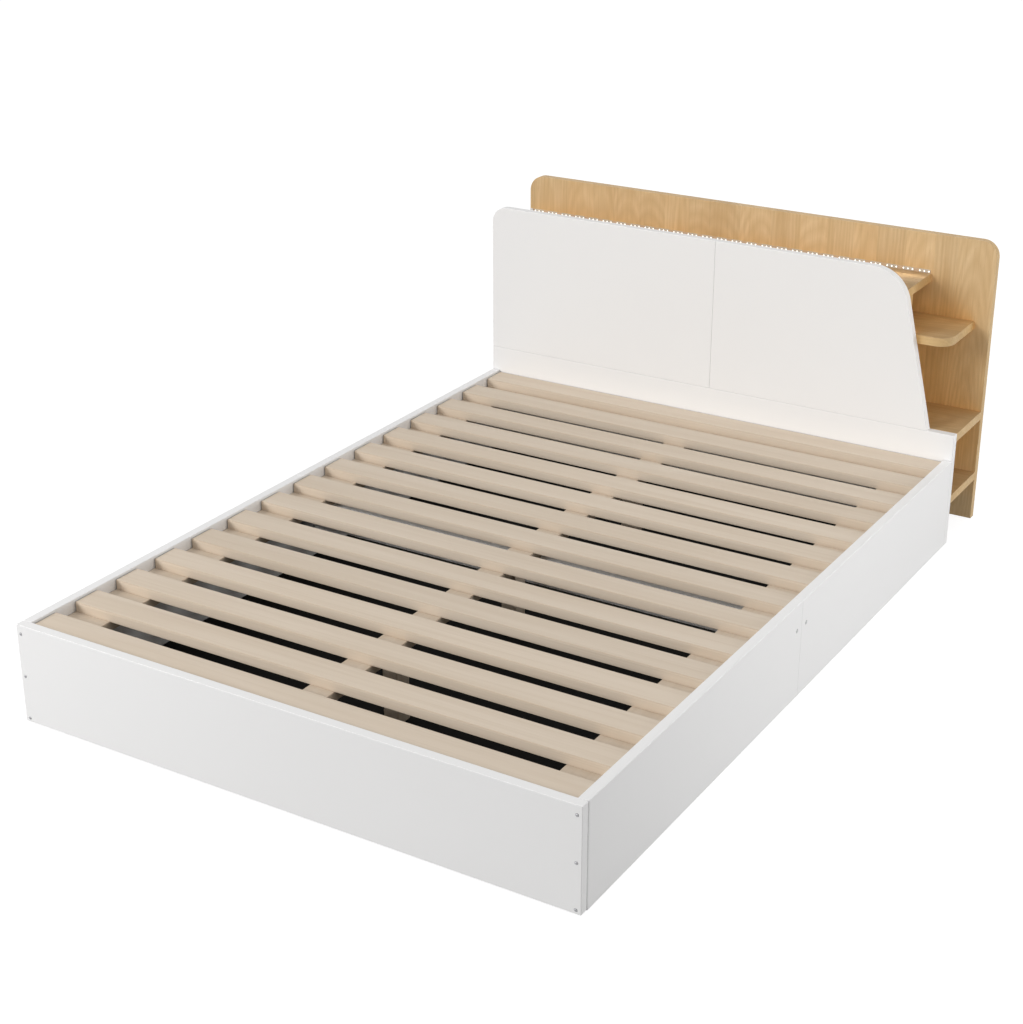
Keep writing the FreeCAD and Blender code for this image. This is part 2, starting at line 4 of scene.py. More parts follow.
import bmesh
import bpy
from mathutils import Euler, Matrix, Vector


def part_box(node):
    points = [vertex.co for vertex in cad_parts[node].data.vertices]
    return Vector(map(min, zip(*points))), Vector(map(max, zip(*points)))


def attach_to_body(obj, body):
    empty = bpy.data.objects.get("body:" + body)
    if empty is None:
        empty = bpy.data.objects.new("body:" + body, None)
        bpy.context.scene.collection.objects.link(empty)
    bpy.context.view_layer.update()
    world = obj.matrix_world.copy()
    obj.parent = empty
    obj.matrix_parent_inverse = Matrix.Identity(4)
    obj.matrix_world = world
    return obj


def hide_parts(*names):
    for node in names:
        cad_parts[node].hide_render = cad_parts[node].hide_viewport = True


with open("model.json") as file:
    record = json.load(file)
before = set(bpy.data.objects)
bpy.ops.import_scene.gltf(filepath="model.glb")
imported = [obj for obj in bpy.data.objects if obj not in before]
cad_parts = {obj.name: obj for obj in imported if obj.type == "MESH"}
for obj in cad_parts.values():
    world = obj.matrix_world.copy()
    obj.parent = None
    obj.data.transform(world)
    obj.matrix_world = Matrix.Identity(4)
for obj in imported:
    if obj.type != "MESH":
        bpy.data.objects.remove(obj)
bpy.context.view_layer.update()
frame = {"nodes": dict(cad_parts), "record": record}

# A storage bed: white boards, an oak shelf headboard with a light strip, and a deck of loose pale slats.
# Lengths are in metres, in the same frame as the solids, and colours are linear.

MM = 0.001
NODES = frame["nodes"]
BED_BODY = "bed_frame"
WELD_DISTANCE = 0.01 * MM
QUARTER_TURN = math.pi / 2

# Camera
CAMERA_PLACE = (2.2385, -3.8646, 2.2137)
CAMERA_TILT_DEGREES = (66.447, 0, 31.393)
CAMERA_LENS_MM = 67.98
CAMERA_SENSOR_MM = 36.0

# Studio: the sky, one low window beyond the foot end, and soft lamps round the bed
WHITE = (1, 1, 1, 1)
SKY_STRENGTH = 0.49
FLOOR_SIZE = 40.0
FLOOR_DROP = 0.5 * MM
FLOOR_COLOUR = (0.3, 0.3, 0.3, 1)
FLOOR_GLOW = 0.86
WINDOW_TOWARD = (-0.53, -1, 0.45)
WINDOW_SPREAD_DEGREES = 18
WINDOW_STRENGTH = 1.14

# Each soft lamp: its place, the point it faces, its width and its watts
SOFT_LAMPS = {
    "lamp_left": ((-2.2, -2.8, 1.6), (-0.5, -1.0, 0.2), 1.5, 33.5),
    "lamp_high_right": ((3.2, 0.2, 3.2), (0, 0.1, 0.2), 1.2, 20.0),
    "lamp_low_rear": ((3.2, 2.4, 0.7), (0.73, 0.7, 0.12), 1.0, 26.0),
    "lamp_above": ((0, 0, 4.2), (0, 0.1, 0.2), 3.0, 10.5),
    "lamp_shelves": ((2.4, -0.3, 0.45), (0.6, 1.0, 0.35), 0.8, 8.0),
}

# The light that the strip's lamps throw: from just in front of their row and above it, down on the shelf
STRIP_LIGHT_FACING = (0, -1, -0.9)
STRIP_LIGHT_BEAM_DEGREES = 60
STRIP_LIGHT_COLOUR = (1, 0.93, 0.78)
STRIP_LIGHT_WATTS = 0.15
STRIP_LIGHT_CLEAR = 3 * MM
STRIP_LIGHT_RISE = 37 * MM

# Painted shade in seams and corners: how far to look for the next board, and how open a place is beside a
# seam and deep in it
SEAM_REACH = 5 * MM
SEAM_SHARES = (0.72, 0.22)

# Edges: how far to look round one, and how alike the face and its rounding are on the flat and on an edge
EDGE_REACH = 1.6 * MM
EDGE_FLAT = 1.0
EDGE_TURN = 0.75
HALF_ROUND = 0.5
NEAR_SAMPLES = 6
CLOUD_DETAIL = 3.0

# White melamine
MELAMINE = (0.86, 0.855, 0.85, 1)
MELAMINE_CLOUD = (0.845, 0.838, 0.832, 1)
MELAMINE_SEAM_SHADE = (0.45, 0.45, 0.45, 1)
MELAMINE_RUBBED_AND_HIGHLIGHT = (0.89, 0.885, 0.88, 1)
MELAMINE_CLOUD_SCALE = 3.0
MELAMINE_GLOSS_SCALE = 30.0
MELAMINE_PEEL_SCALE = 900.0
MELAMINE_PEEL_DEPTH = 0.04 * MM
MELAMINE_ROUGHNESS = (0.36, 0.46)

# Oak: the three colours of its grain
OAK_LIGHT = (0.72, 0.525, 0.295, 1)
OAK_MIDDLE = (0.655, 0.457, 0.24, 1)
OAK_DARK = (0.50, 0.315, 0.147, 1)

# Tones over the oak: painted shade on the flat of a shelf, lighter on edge bands, and painted warm bounce
# light inside the niches
OAK_SHELF_SHADE = (0.70, 0.68, 0.67, 1)
OAK_BAND = (0.89, 0.87, 0.79, 1)
OAK_BOUNCE_PAINT = (1.33, 1.11, 0.75, 1)

# Where the painted warm bounce light shows: how far it looks for other boards, its fade at the top shelf, the
# heights between which it sets in above the floor, and how open a place is where the painted light starts and
# where it is full
OAK_BOUNCE_PAINT_REACH = 250 * MM
OAK_BOUNCE_PAINT_FADE = 70 * MM
OAK_BOUNCE_PAINT_START = (60 * MM, 220 * MM)
OAK_BOUNCE_PAINT_SHARES = (0.85, 0.35)

# Grain of the oak: staves side by side, the rings of each, soft figure, streaks and pores
OAK_STAVE = 84 * MM
OAK_STAVE_UNEVEN = 0.85
OAK_STAVE_SHIFT = 7.0
OAK_TONES = (0.94, 1.05)
OAK_RING = 9 * MM
OAK_HEART_DEPTHS = (-60 * MM, 60 * MM)
OAK_LEANS = (-0.22, 0.22)
OAK_WANDER = 2.2
OAK_WANDER_SCALE = (14, 14, 4)
OAK_FIGURE_SCALE = (16, 16, 4.5)
OAK_FIGURE_WARP = 0.6
OAK_FIGURE_LIMITS = (0.36, 0.64)
OAK_STREAK_SCALE = (190, 190, 5)
OAK_STREAK_LIMITS = (0.46, 0.78)
OAK_PORE_SCALE = (800, 800, 26)
OAK_PORE_LIMITS = (0.58, 0.72)
OAK_RING_SHOW = 0.30
OAK_STREAK_SHOW = 0.45
OAK_PORE_SHOW = 0.45
OAK_EDGE_HIGHLIGHT_SHOW = 0.5
OAK_RELIEF = 0.1 * MM
OAK_RELIEF_SHOW = 0.3
OAK_ROUGHNESS = (0.42, 0.56)
OAK_SHINE = 0.2

# Pale wood
PALE_LIGHT = (0.69, 0.59, 0.478, 1)
PALE_MIDDLE = (0.642, 0.538, 0.424, 1)
PALE_DARK = (0.523, 0.41, 0.297, 1)
PALE_SHIFT = 7.0
PALE_TONES = (0.97, 1.03)
PALE_BAND_SCALE = (22, 22, 1.3)
PALE_BAND_WARP = 0.6
PALE_BAND_LIMITS = (0.34, 0.66)
PALE_STREAK_SCALE = (170, 170, 2.6)
PALE_STREAK_LIMITS = (0.5, 0.8)
PALE_PORE_SCALE = (900, 900, 20)
PALE_PORE_LIMITS = (0.6, 0.74)
PALE_STREAK_SHOW = 0.26
PALE_PORE_SHOW = 0.16
PALE_EDGE_HIGHLIGHT_SHOW = 0.1
PALE_ROUND_SHADE_SHOW = 0.75
PALE_RELIEF = 0.1 * MM
PALE_RELIEF_SHOW = 0.3
PALE_ROUGHNESS = (0.52, 0.66)
PALE_SHINE = 0.3

# Mottled finishes: two colours, then the mottle's scale, metal, shine, least and most roughness, and depth
MOTTLED = {
    # The bottom boards' near-black is partly their own black and partly painted shade of the closed space
    # under the deck.
    "dark_board": ((0.004, 0.004, 0.004, 1), (0.009, 0.009, 0.008, 1),
                   300.0, 0.0, 0.2, (0.75, 0.9), 0.05 * MM),
    "bracket_steel": ((0.62, 0.62, 0.63, 1), (0.42, 0.42, 0.44, 1),
                      60.0, 1.0, 0.5, (0.3, 0.5), 0.02 * MM),
    "screw_steel": ((0.44, 0.44, 0.45, 1), (0.32, 0.32, 0.33, 1),
                    400.0, 1.0, 0.5, (0.22, 0.34), 0.02 * MM),
    "bolt_cap": ((0.74, 0.74, 0.74, 1), (0.68, 0.68, 0.68, 1),
                 400.0, 0.0, 0.5, (0.3, 0.45), 0.02 * MM),
    "dowel_wood": ((0.60, 0.42, 0.25, 1), (0.45, 0.29, 0.16, 1),
                   250.0, 0.0, 0.3, (0.5, 0.7), 0.05 * MM),
    "lamp_housing": ((0.52, 0.50, 0.47, 1), (0.44, 0.42, 0.39, 1),
                     500.0, 0.0, 0.5, (0.35, 0.5), 0.02 * MM),
    "feed_plastic": ((0.78, 0.78, 0.77, 1), (0.70, 0.70, 0.69, 1),
                     300.0, 0.0, 0.5, (0.35, 0.5), 0.02 * MM),
}

# Light strip
STRIP_LACQUER = (0.63, 0.46, 0.30, 1)
STRIP_PRINT = (0.62, 0.55, 0.45, 1)
STRIP_WEAVE_SCALE = 700.0
STRIP_WEAVE_DEPTH = 0.03 * MM
STRIP_ROUGHNESS = (0.35, 0.5)
LAMP_GROUP_PITCH = 47.3 * MM
LAMP_GROUP_SPAN = 31.4 * MM
LAMP_GLOW = (1.0, 0.93, 0.78, 1)
LAMP_GLOW_SCALE = 400.0
LAMP_STRENGTH = 1.5
LAMP_ROUGHNESS = (0.1, 0.3)
LAMP_SIDES = 12
LAMP_DOME_RINGS = 4
LAMP_SIZES = {"Lens radius": 2.1 * MM, "Lens rise": 0.25 * MM,
              "Cup radius": 2.3 * MM, "Cup depth": 0.35 * MM}

# Fasteners: the heads of sunk screws lie below the face
SCREW_SIZES = {"Head radius": 3.7 * MM, "Head rise": 2 * MM, "Head sink": 0,
               "Shank radius": 2.2 * MM, "Tip length": 6 * MM,
               "Recess reach": 4.4 * MM, "Recess width": 1.1 * MM, "Recess depth": 0.7 * MM}
SUNK_SCREW_SIZES = {**SCREW_SIZES, "Head sink": 1.3 * MM}
BOLT_SIZES = {"Head radius": 3.8 * MM, "Head rise": 2 * MM, "Head sink": 0,
              "Shank radius": 3 * MM, "Tip length": 1 * MM,
              "Recess reach": 5 * MM, "Recess width": 3.2 * MM, "Recess depth": 0.8 * MM}
HEAD_SIDES = 20
HEAD_RINGS = 8
SHANK_SIDES = 10
SOCKET_SIDES = 6
INWARD = "inward"
LENGTH = "length"

# Slats: rounded above, only eased below
SLAT_EDGE_RADIUS = 2 * MM
SLAT_UNDER_RADIUS = 0.5 * MM
SLAT_EDGE_STEPS = 6
SLAT_TONE = "tone"
SLAT_SEED = 11

# Strip feed clip
CLIP_BEVEL = 0.8 * MM
CLIP_BEVEL_STEPS = 3
CLIP_BEVEL_PROFILE = 0.5
CLIP_RIBS = 3
CLIP_RIB_RISE = 0.6 * MM
CLIP_RIB_SHARE = 0.5


class Tree:
    """A tree of nodes being put together: each call adds a node."""

    def __init__(self, tree):
        self.tree = tree

    def add(self, kind, inputs, **settings):
        """Add a node with its settings; an input takes a value, a link or a list of links."""
        node = self.tree.nodes.new(kind)
        for key, value in settings.items():
            setattr(node, key, value)
        for key, value in inputs.items():
            for single in value if isinstance(value, list) else [value]:
                if isinstance(single, bpy.types.NodeSocket):
                    self.tree.links.new(single, node.inputs[key])
                else:
                    node.inputs[key].default_value = single
        return node

    def maths(self, operation, first, second=0.0):
        return self.add("ShaderNodeMath", {0: first, 1: second}, operation=operation).outputs[0]

    def half(self, size):
        return self.maths("DIVIDE", size, 2.0)

    def double(self, size):
        return self.maths("MULTIPLY", size, 2.0)

    def minus(self, size):
        return self.maths("MULTIPLY", size, -1.0)

    def corner(self, x=0.0, y=0.0, z=0.0):
        return self.add("ShaderNodeCombineXYZ", {"X": x, "Y": y, "Z": z}).outputs[0]

    def parts(self, vector):
        """The three parts of a place or a direction."""
        return self.add("ShaderNodeSeparateXYZ", {"Vector": vector}).outputs

    def seen(self):
        """One where the surface is seen, also in metal or glass, and nought where it only gives light."""
        path = self.add("ShaderNodeLightPath", {}).outputs
        mirrored = self.maths("MAXIMUM", path["Is Glossy Ray"], path["Is Transmission Ray"])
        return self.maths("MAXIMUM", path["Is Camera Ray"], mirrored)


class Finish(Tree):
    """A node material."""

    ACROSS = {"X": ("Y", "Z"), "Y": ("X", "Z"), "Z": ("X", "Y")}

    def __init__(self, name):
        self.material = bpy.data.materials.new(name)
        self.material.use_nodes = True
        super().__init__(self.material.node_tree)
        self.tree.nodes.clear()

    def place(self):
        """Places on the piece, measured as the bed is."""
        return self.add("ShaderNodeTexCoord", {}).outputs["Object"]

    def fibres(self, along):
        """Distances along the fibres, and both ways across them."""
        parts = self.parts(self.place())
        first, second = self.ACROSS[along]
        return parts[along], parts[first], parts[second]

    def noise(self, vector, scale, warp=0.0):
        """Clouds of one scale, or of three different ones along the axes."""
        if isinstance(scale, tuple):
            vector = self.add("ShaderNodeMapping", {"Vector": vector, "Scale": scale}).outputs["Vector"]
            scale = 1.0
        sizes = {"Vector": vector, "Scale": scale, "Detail": CLOUD_DETAIL, "Distortion": warp}
        return self.add("ShaderNodeTexNoise", sizes).outputs["Fac"]

    def fit(self, value, low, high):
        """Spread a value between nought and one over a range of numbers."""
        sizes = {"Value": value, "To Min": low, "To Max": high}
        return self.add("ShaderNodeMapRange", sizes).outputs["Result"]

    def threshold(self, value, low, high):
        """Nought at the low limit, one at the high limit."""
        sizes = {"Value": value, "From Min": low, "From Max": high}
        return self.add("ShaderNodeMapRange", sizes).outputs["Result"]

    def blend(self, amount, first, second, kind="MIX"):
        """Mix two colours; the node's sockets for colours come after those for numbers and directions."""
        sockets = {0: amount, 6: first, 7: second}
        return self.add("ShaderNodeMix", sockets, data_type="RGBA", blend_type=kind).outputs[2]

    def tint(self, mask, show, first, second):
        """Lay a second colour over the first where the mask is, only as strongly as it should show."""
        return self.blend(self.maths("MULTIPLY", mask, show), first, second)

    def multiplied(self, colour, multiplier):
        """Multiply a colour by another that differs from place to place."""
        return self.blend(1.0, colour, multiplier, "MULTIPLY")

    def toned(self, colour, level):
        """Make a colour lighter or darker."""
        grey = self.add("ShaderNodeCombineColor", {0: level, 1: level, 2: level}).outputs[0]
        return self.multiplied(colour, grey)

    def hollow(self, reach, open_share, shut_share):
        """Nought in the open, one in a hollow that other boards close in."""
        near = self.add("ShaderNodeAmbientOcclusion", {"Distance": reach}, samples=NEAR_SAMPLES)
        return self.threshold(near.outputs["AO"], open_share, shut_share)

    def painted_bounce(self):
        """Where warm bounce light is painted: one deep in the niches under the top shelf, nought above it, by
        the floor and in the open.
        """
        height = self.parts(self.place())["Z"]
        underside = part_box("shelf_top")[0].z
        under = self.threshold(height, underside + OAK_BOUNCE_PAINT_FADE, underside - OAK_BOUNCE_PAINT_FADE)
        above = self.threshold(height, *OAK_BOUNCE_PAINT_START)
        shelved = self.maths("MULTIPLY", under, above)
        return self.maths("MULTIPLY", shelved, self.hollow(OAK_BOUNCE_PAINT_REACH, *OAK_BOUNCE_PAINT_SHARES))

    def facing(self):
        """The way each face looks, without its relief."""
        return self.add("ShaderNodeNewGeometry", {}).outputs["True Normal"]

    def edge(self):
        """Nought on a flat face, one on a sharp edge."""
        rounded = self.add("ShaderNodeBevel", {"Radius": EDGE_REACH}, samples=NEAR_SAMPLES)
        sides = {0: rounded.outputs["Normal"], 1: self.facing()}
        alike = self.add("ShaderNodeVectorMath", sides, operation="DOT_PRODUCT").outputs["Value"]
        return self.threshold(alike, EDGE_FLAT, EDGE_TURN)

    def rounding(self, along):
        """Nought on the flat faces, one halfway round an edge that follows the fibres."""
        parts = self.parts(self.facing())
        first, second = self.ACROSS[along]
        both = self.maths("ABSOLUTE", self.maths("MULTIPLY", parts[first], parts[second]))
        return self.threshold(both, 0.0, HALF_ROUND)

    def bump(self, height, distance, strength=1.0):
        """Turn a height into relief."""
        sizes = {"Height": height, "Distance": distance, "Strength": strength}
        return self.add("ShaderNodeBump", sizes).outputs["Normal"]

    def done(self, inputs):
        """Close the tree with the surface itself."""
        surface = self.add("ShaderNodeBsdfPrincipled", inputs)
        self.add("ShaderNodeOutputMaterial", {"Surface": surface.outputs["BSDF"]})
        return self.material


def white_board():
    """Satin melamine: faint clouds in the white, painted grey shade in seams, edges lighter as rubbed wear
    and painted highlight, orange peel and uneven gloss.
    """
    look = Finish("white_board")
    place = look.place()
    clouded = look.blend(look.noise(place, MELAMINE_CLOUD_SCALE), MELAMINE, MELAMINE_CLOUD)
    # Lighter sharp edges: partly rubbed wear, partly a painted highlight.
    rubbed_and_highlit = look.blend(look.edge(), clouded, MELAMINE_RUBBED_AND_HIGHLIGHT)
    return look.done({
        # Painted shade: the white turns grey in seams and inner corners where other boards close it in.
        "Base Color": look.blend(look.hollow(SEAM_REACH, *SEAM_SHARES), rubbed_and_highlit, MELAMINE_SEAM_SHADE),
        "Roughness": look.fit(look.noise(place, MELAMINE_GLOSS_SCALE), *MELAMINE_ROUGHNESS),
        "Normal": look.bump(look.noise(place, MELAMINE_PEEL_SCALE), MELAMINE_PEEL_DEPTH),
    })


def oak(name, along):
    """Oiled oak: staves of different tone, arched rings, soft figure, streaks, pores and banded edges, with
    painted shade on the flat of a shelf, painted warm bounce light in the niches and a painted highlight on
    sharp edges.
    """
    look = Finish(name)
    length, first, second = look.fibres(along)
    across = look.maths("ADD", first, second)
    widths = {"W": across, "Scale": 1 / OAK_STAVE, "Randomness": OAK_STAVE_UNEVEN}
    stave = look.add("ShaderNodeTexVoronoi", widths, voronoi_dimensions="1D").outputs
    chance = look.add("ShaderNodeSeparateColor", {"Color": stave["Color"]}).outputs
    shifted = look.maths("ADD", length, look.maths("MULTIPLY", chance["Red"], OAK_STAVE_SHIFT))
    board = look.corner(first, second, shifted)
    lean = look.maths("MULTIPLY", length, look.fit(chance["Blue"], *OAK_LEANS))
    heart = look.maths("ADD", look.fit(chance["Green"], *OAK_HEART_DEPTHS), lean)
    sawn = look.corner(look.maths("SUBTRACT", across, stave["W"]), heart)
    radius = look.add("ShaderNodeVectorMath", {0: sawn}, operation="LENGTH").outputs["Value"]
    wander = look.maths("MULTIPLY", look.noise(board, OAK_WANDER_SCALE), OAK_WANDER)
    count = look.maths("ADD", look.maths("DIVIDE", radius, OAK_RING / 2), wander)
    rings = look.maths("PINGPONG", count, 1.0)
    figure = look.threshold(look.noise(board, OAK_FIGURE_SCALE, OAK_FIGURE_WARP), *OAK_FIGURE_LIMITS)
    streaks = look.noise(board, OAK_STREAK_SCALE)
    pores = look.noise(board, OAK_PORE_SCALE)
    colour = look.blend(figure, OAK_MIDDLE, OAK_LIGHT)
    colour = look.tint(rings, OAK_RING_SHOW, colour, OAK_DARK)
    colour = look.tint(look.threshold(streaks, *OAK_STREAK_LIMITS), OAK_STREAK_SHOW, colour, OAK_DARK)
    colour = look.tint(look.threshold(pores, *OAK_PORE_LIMITS), OAK_PORE_SHOW, colour, OAK_DARK)
    colour = look.toned(colour, look.fit(chance["Red"], *OAK_TONES))
    facing = look.parts(look.facing())
    # Painted shade: the flat faces of a shelf are darker than its edge bands; uprights are duller on the
    # faces that look sideways.
    if along == "X":
        multiplier = look.blend(look.maths("ABSOLUTE", facing["Z"]), OAK_BAND, OAK_SHELF_SHADE)
    else:
        multiplier = look.blend(look.maths("ABSOLUTE", facing["X"]), WHITE, OAK_BAND)
    colour = look.multiplied(colour, multiplier)
    # Painted warm bounce light: deep in the niches the oak turns warmer and redder, as if lit by light off
    # other oak.
    colour = look.blend(look.painted_bounce(), colour, OAK_BOUNCE_PAINT, "MULTIPLY")
    relief = look.maths("SUBTRACT", streaks, pores)
    return look.done({
        # Painted highlight: sharp edges are lightened toward the lightest oak.
        "Base Color": look.tint(look.edge(), OAK_EDGE_HIGHLIGHT_SHOW, colour, OAK_LIGHT),
        "Roughness": look.fit(streaks, *OAK_ROUGHNESS),
        "Specular IOR Level": OAK_SHINE,
        "Normal": look.bump(relief, OAK_RELIEF, OAK_RELIEF_SHOW),
    })


def pale_wood(name, along):
    """Planed poplar: long soft bands, fine streaks and pores along the fibres, painted shade round the
    rounded edges and a painted highlight on sharp edges.
    """
    look = Finish(name)
    length, first, second = look.fibres(along)
    tone = look.add("ShaderNodeAttribute", {}, attribute_name=SLAT_TONE).outputs["Fac"]
    shifted = look.maths("ADD", length, look.maths("MULTIPLY", tone, PALE_SHIFT))
    board = look.corner(first, second, shifted)
    bands = look.threshold(look.noise(board, PALE_BAND_SCALE, PALE_BAND_WARP), *PALE_BAND_LIMITS)
    streaks = look.noise(board, PALE_STREAK_SCALE)
    pores = look.noise(board, PALE_PORE_SCALE)
    colour = look.blend(bands, PALE_MIDDLE, PALE_LIGHT)
    colour = look.tint(look.threshold(streaks, *PALE_STREAK_LIMITS), PALE_STREAK_SHOW, colour, PALE_DARK)
    colour = look.tint(look.threshold(pores, *PALE_PORE_LIMITS), PALE_PORE_SHOW, colour, PALE_DARK)
    # Painted shade: the rounded long edges are darkened to take down the light they catch.
    colour = look.tint(look.rounding(along), PALE_ROUND_SHADE_SHOW, colour, PALE_DARK)
    colour = look.toned(colour, look.fit(tone, *PALE_TONES))
    relief = look.maths("SUBTRACT", streaks, pores)
    return look.done({
        # Painted highlight: sharp edges are lightened toward the palest tone.
        "Base Color": look.tint(look.edge(), PALE_EDGE_HIGHLIGHT_SHOW, colour, PALE_LIGHT),
        "Roughness": look.fit(streaks, *PALE_ROUGHNESS),
        "Specular IOR Level": PALE_SHINE,
        "Normal": look.bump(relief, PALE_RELIEF, PALE_RELIEF_SHOW),
    })


def mottled(name):
    """A plain finish with a fine two-tone mottle."""
    first, second, scale, metal, shine, roughness, depth = MOTTLED[name]
    look = Finish(name)
    mottle = look.noise(look.place(), scale)
    return look.done({
        "Base Color": look.blend(mottle, first, second),
        "Metallic": metal,
        "Specular IOR Level": shine,
        "Roughness": look.fit(mottle, *roughness),
        "Normal": look.bump(mottle, depth),
    })


def strip_base():
    """A woven lacquered strip, printed grey under each group of lamps and bare between the groups."""
    look = Finish("strip_base")
    along = look.parts(look.place())["X"]
    from_start = look.maths("SUBTRACT", along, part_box("strip_lamps")[0].x)
    group = look.maths("FRACT", look.maths("DIVIDE", from_start, LAMP_GROUP_PITCH))
    printed = look.maths("LESS_THAN", group, LAMP_GROUP_SPAN / LAMP_GROUP_PITCH)
    weave = look.noise(look.place(), STRIP_WEAVE_SCALE)
    return look.done({
        "Base Color": look.blend(printed, STRIP_LACQUER, STRIP_PRINT),
        "Roughness": look.fit(weave, *STRIP_ROUGHNESS),
        "Normal": look.bump(weave, STRIP_WEAVE_DEPTH),
    })


def lamp_lens():
    """A lit lamp under a clear lens, here and there a little warmer."""
    look = Finish("lamp_lens")
    glow = look.noise(look.place(), LAMP_GLOW_SCALE)
    return look.done({
        "Base Color": LAMP_GLOW,
        "Roughness": look.fit(glow, *LAMP_ROUGHNESS),
        "Emission Color": look.blend(glow, WHITE, LAMP_GLOW),
        "Emission Strength": LAMP_STRENGTH,
    })


class Pattern(Tree):
    """A tree of shape nodes with named sizes, set on seats: points that can carry a way and a length."""

    def __init__(self, name, sizes, whole_sizes=()):
        super().__init__(bpy.data.node_groups.new(name, "GeometryNodeTree"))
        kinds = {"Seats": "NodeSocketGeometry", "Finish": "NodeSocketMaterial"}
        kinds.update({size: "NodeSocketFloat" for size in sizes})
        kinds.update({size: "NodeSocketInt" for size in whole_sizes})
        for given, kind in kinds.items():
            self.tree.interface.new_socket(given, in_out="INPUT", socket_type=kind)
        self.tree.interface.new_socket("Geometry", in_out="OUTPUT", socket_type="NodeSocketGeometry")
        self.given = self.tree.nodes.new("NodeGroupInput").outputs

    def solid(self, kind, inputs, **settings):
        """A plain solid, to be shaped further."""
        return self.add("GeometryNodeMesh" + kind, inputs, **settings).outputs["Mesh"]

    def moved(self, shape, **inputs):
        """A shape that is moved, turned or scaled."""
        sockets = {key.capitalize(): value for key, value in inputs.items()}
        return self.add("GeometryNodeTransform", {"Geometry": shape, **sockets}).outputs[0]

    def cut(self, shape, cutters):
        """A shape with others cut out of it."""
        shapes = {0: shape, 1: cutters}
        return self.add("GeometryNodeMeshBoolean", shapes, operation="DIFFERENCE").outputs["Mesh"]

    def seat_value(self, name, kind):
        """A value that each seat carries under this name."""
        named = self.add("GeometryNodeInputNamedAttribute", {"Name": name}, data_type=kind)
        return named.outputs["Attribute"]

    def on_seats(self, shape, seats=None, **inputs):
        """Set a shape on every seat."""
        sockets = {key.capitalize(): value for key, value in inputs.items()}
        points = {"Points": seats or self.given["Seats"], "Instance": shape}
        return self.add("GeometryNodeInstanceOnPoints", {**points, **sockets}).outputs[0]

    def done(self, shapes):
        """Join the shapes, make them real and give them their finish."""
        joined = self.add("GeometryNodeJoinGeometry", {0: shapes}).outputs[0]
        real = self.add("GeometryNodeRealizeInstances", {0: joined}).outputs[0]
        dressed = self.add("GeometryNodeSetMaterial", {"Geometry": real, "Material": self.given["Finish"]})
        self.add("NodeGroupOutput", {0: dressed.outputs[0]})
        return self.tree


def fastener_pattern(name, sizes, make_recess):
    """Screws or bolts: a domed head with a recess, a shank of each seat's own length, and a tapered tip."""
    form = Pattern(name, sizes)
    given = form.given
    inward = form.seat_value(INWARD, "FLOAT_VECTOR")
    length = form.seat_value(LENGTH, "FLOAT")
    turn = form.add("FunctionNodeAlignRotationToVector", {"Vector": inward}, axis="Z").outputs[0]

    def deeper(distance):
        """The seats, moved inward."""
        step = form.add("ShaderNodeVectorMath", {0: inward, "Scale": distance}, operation="SCALE")
        shift = {"Geometry": given["Seats"], "Offset": step.outputs[0]}
        return form.add("GeometryNodeSetPosition", shift).outputs[0]

    sides = {"Segments": HEAD_SIDES, "Rings": HEAD_RINGS}
    ball = form.solid("UVSphere", {**sides, "Radius": given["Head radius"]})
    flatness = form.maths("DIVIDE", given["Head rise"], given["Head radius"])
    dome = form.moved(ball, scale=form.corner(1.0, 1.0, flatness))
    recess = [form.moved(shape, translation=form.corner(z=form.minus(given["Head rise"])))
              for shape in make_recess(form)]
    head = form.cut(dome, recess)
    shank_start = form.maths("ADD", given["Head sink"], given["Head rise"])
    tip_start = form.maths("SUBTRACT", length, given["Tip length"])
    shank_length = form.maths("SUBTRACT", tip_start, shank_start)
    shank = form.solid("Cone", {"Vertices": SHANK_SIDES, "Radius Bottom": given["Shank radius"],
                                "Radius Top": given["Shank radius"], "Depth": 1.0})
    tip = form.solid("Cone", {"Vertices": SHANK_SIDES, "Radius Bottom": given["Shank radius"],
                              "Radius Top": 0.0, "Depth": given["Tip length"]})
    return form.done([
        form.on_seats(head, deeper(given["Head sink"]), rotation=turn),
        form.on_seats(shank, deeper(shank_start), rotation=turn, scale=form.corner(1.0, 1.0, shank_length)),
        form.on_seats(tip, deeper(tip_start), rotation=turn),
    ])


def cross_recess(form):
    """Two blocks that cross, sunk to the recess's depth."""
    reach, width = form.given["Recess reach"], form.given["Recess width"]
    height = form.double(form.given["Recess depth"])
    return [form.solid("Cube", {"Size": form.corner(reach, width, height)}),
            form.solid("Cube", {"Size": form.corner(width, reach, height)})]


def socket_recess(form):
    """A six-sided plug, sunk to the recess's depth."""
    height = form.double(form.given["Recess depth"])
    radius = form.half(form.given["Recess width"])
    return [form.solid("Cylinder", {"Vertices": SOCKET_SIDES, "Radius": radius, "Depth": height})]


